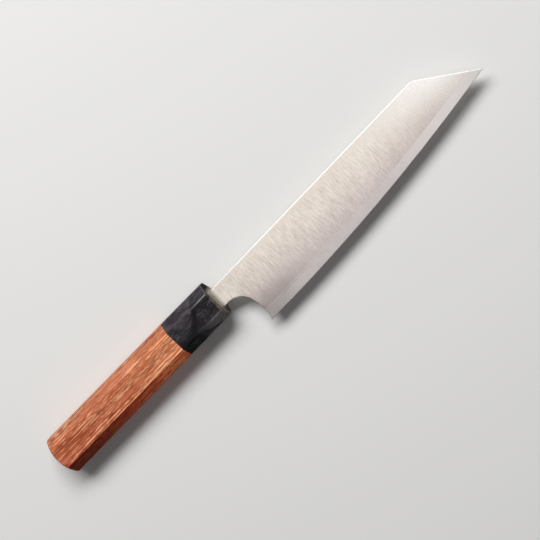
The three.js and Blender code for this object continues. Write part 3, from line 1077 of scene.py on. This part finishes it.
def dowelWood():
    s, look = Surface("dowelWood"), dowelLook
    fibre = s.noise(s.place, **look["fibre"])
    bands = s.noise(s.place, **look["bands"])
    tone, rough = look["tone"], look["rough"]
    grained = (fibre - 0.5) * tone["fibre"] + (bands - 0.5) * tone["bands"]
    return s.done({
        "Base Color": s.ramp(grained + tone["level"], look["tones"]),
        "Roughness": fibre * rough["fibre"] + rough["level"],
        "Normal": s.bump(fibre, *look["bump"]),
    })


def beddingEpoxy():
    s, look = Surface("beddingEpoxy"), beddingLook
    cloud = s.noise(s.place, **look["cloud"])
    return s.done({
        "Base Color": s.mixed(cloud, *look["colours"]),
        "Roughness": cloud * look["rough"]["cloud"] + look["rough"]["level"],
        "Normal": s.bump(cloud, *look["bump"]),
    })


def finishInner():
    for node, material, slot in (
        ("tenon_dowel", dowelWood(), "dowel_wood"),
        ("tang_bedding", beddingEpoxy(), "bedding_epoxy"),
    ):
        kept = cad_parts[node]
        kept.data.materials.clear()
        kept.data.materials.append(material)
        print("inner piece", node)


# Floor, lights and camera

studio = {
    "floorSize": 6.0,
    "floorColour": (0.76, 0.755, 0.74, 1.0),
    "floorRoughness": 0.9,
    "wall": (0.90, 0.90, 0.91, 1.0),  # pale wall on the lamp's side, which the camera and gloss see
    "farWall": (0.55, 0.55, 0.56, 1.0),
    "wallTurn": (-0.2, 0.8),
    "ceiling": (0.15, 0.15, 0.155, 1.0),
    "ceilingTurn": (0.15, 0.75),
    "fill": 0.16,  # share of that world that lights dull surfaces
}

# the bank lights dull surfaces only, so that the blade doesn't glare; the strip before it is what gloss shows
lamps = {
    "bank": {
        "place": (0.30, 1.05, 1.22), "aim": (0.0, 0.0, 0.0),
        "size": (1.4, 0.6), "power": 30.5, "mirrored": False,
    },
    "strip": {
        "place": (0.285, 1.00, 1.16), "aim": (0.0, 0.0, 0.0),
        "size": (1.4, 0.6), "power": 3.2, "mirrored": True,
    },
    "panel": {
        "place": (-0.03, -0.025, 1.0), "aim": (-0.03, -0.025, 0.0),
        "size": (0.62, 0.32), "power": 0.875, "mirrored": True,
    },
}

# how far the camera leans from straight above, its turn, distance, aim and lens, in the photograph's frame
shot = {
    "leanX": 11.0,
    "leanY": 4.0,
    "roll": 45.639,
    "distance": 0.9,
    "aim": (0.00131, -0.00118),
    "lens": 130.08,
    "sensor": 36.0,
    "clip": (0.05, 20.0),
}


def makeFloor():
    size = studio["floorSize"] / 2
    mesh = bpy.data.meshes.new("floor")
    corners = [(-size, -size, 0), (size, -size, 0), (size, size, 0), (-size, size, 0)]
    mesh.from_pydata(corners, [], [(0, 1, 2, 3)])
    s = Surface("paleFloor")
    material = s.done({"Base Color": studio["floorColour"], "Roughness": studio["floorRoughness"]})
    mesh.materials.append(material)
    floor = bpy.data.objects.new("floor", mesh)
    bpy.context.scene.collection.objects.link(floor)


def makeWorld():
    world = bpy.data.worlds.new("studioWorld")
    bpy.context.scene.world = world
    world.use_nodes = True
    g = Graph(world.node_tree)
    way = Value(g, g.add("ShaderNodeTexCoord").socket.node.outputs["Generated"])
    _, depth, height = g.split(way)
    walls = g.mixed(g.rising(depth, *studio["wallTurn"]), studio["farWall"], studio["wall"])
    colour = g.mixed(g.rising(height, *studio["ceilingTurn"]), walls, studio["ceiling"])
    rays = g.add("ShaderNodeLightPath").socket.node.outputs
    seen = sum(Value(g, rays[name]) for name in ("Is Camera Ray", "Is Glossy Ray", "Is Transmission Ray"))
    strength = g.clamped(seen, 0.0, 1.0) * (1 - studio["fill"]) + studio["fill"]
    light = g.add("ShaderNodeBackground", None, {"Color": colour, "Strength": strength})
    g.add("ShaderNodeOutputWorld", None, {"Surface": light})
    print("world lit")


def makeLamp(name):
    facts = lamps[name]
    lamp = bpy.data.lights.new(name, "AREA")
    lamp.shape = "RECTANGLE"
    lamp.size, lamp.size_y = facts["size"]
    lamp.energy = facts["power"]
    made = bpy.data.objects.new(name, lamp)
    bpy.context.scene.collection.objects.link(made)
    place = Vector(facts["place"])
    turn = (Vector(facts["aim"]) - place).to_track_quat("-Z", "Y").to_matrix().to_4x4()
    made.matrix_world = Matrix.Translation(place) @ turn
    made.visible_glossy = facts["mirrored"]
    print("lamp", name, facts["power"], "W")


def makeCamera():
    leanX, leanY = (math.tan(math.radians(shot[name])) for name in ("leanX", "leanY"))
    lean = Vector((leanX, leanY, 1.0)).normalized()
    along = (Vector((1, 0, 0)) - lean.x * lean).normalized()
    across = lean.cross(along)
    roll = math.radians(shot["roll"])
    right = math.cos(roll) * along - math.sin(roll) * across
    up = math.sin(roll) * along + math.cos(roll) * across
    place = Vector((*shot["aim"], axisZ)) + shot["distance"] * lean
    lens = bpy.data.cameras.new("camera")
    lens.sensor_width = shot["sensor"]
    lens.lens = shot["lens"]
    lens.clip_start, lens.clip_end = shot["clip"]
    camera = bpy.data.objects.new("camera", lens)
    bpy.context.scene.collection.objects.link(camera)
    camera.matrix_world = Matrix.Translation(place) @ Matrix((right, up, lean)).transposed().to_4x4()
    bpy.context.scene.camera = camera
    print("camera placed")


makeCamera()
makeFloor()
makeWorld()
for lampName in lamps:
    makeLamp(lampName)
makeBlade()
makeHandle()
finishInner()
bpy.context.scene.view_settings.view_transform = "Standard"
